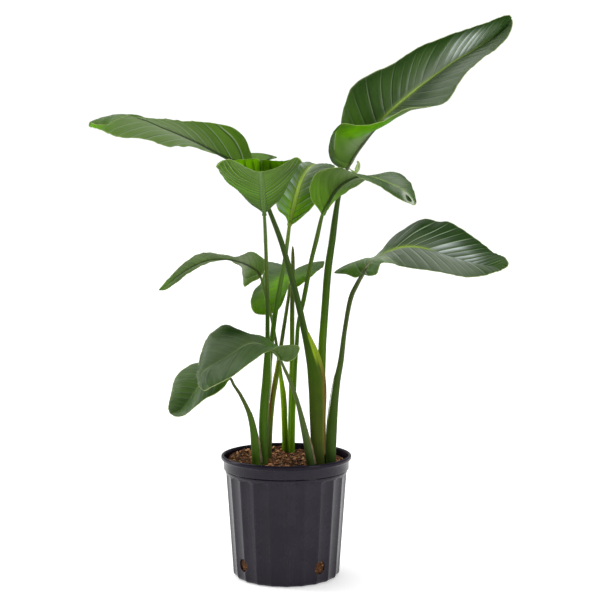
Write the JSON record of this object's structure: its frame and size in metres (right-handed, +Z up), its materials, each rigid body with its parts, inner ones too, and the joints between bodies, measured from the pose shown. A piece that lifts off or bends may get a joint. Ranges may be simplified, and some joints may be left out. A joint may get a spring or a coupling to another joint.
{
  "type": "potted bird of paradise plant",
  "caption": "Young bird of paradise with long-stalked, pleated paddle leaves and a furled spear, growing in a tapered fluted nursery pot filled with bark mix.",
  "frame": {"origin": "centre of the underside of the pot, on the surface that it stands on", "axes": "+Z up, -Y towards the front as pictured, +X to the right"},
  "size_m": [0.8154, 0.7121, 1.1105],
  "materials": {
    "pot_plastic": "semi-matte moulded",
    "potting_mix": "rough, moist bark and coir",
    "leaf_blade": "waxy satin",
    "leaf_stalk": "smooth satin"
  },
  "bodies": {
    "root": {"grower_pot": "pot_plastic", "potting_mix": "potting_mix", "furled_spear": "leaf_stalk", "stalk_top_right": "leaf_stalk", "stalk_top_left": "leaf_stalk", "stalk_upper_front": "leaf_stalk", "stalk_upper_rear": "leaf_stalk", "stalk_upper_right": "leaf_stalk", "stalk_middle_rear": "leaf_stalk", "stalk_lower_front": "leaf_stalk", "stalk_middle_left": "leaf_stalk", "stalk_lowest_left": "leaf_stalk", "stalk_middle_right": "leaf_stalk", "blade_top_right": "leaf_blade", "blade_top_left": "leaf_blade", "blade_upper_front": "leaf_blade", "blade_upper_rear": "leaf_blade", "blade_upper_right": "leaf_blade", "blade_middle_rear": "leaf_blade", "blade_lower_front": "leaf_blade", "blade_middle_left": "leaf_blade", "blade_lowest_left": "leaf_blade", "blade_middle_right": "leaf_blade"}
  },
  "joints": []
}
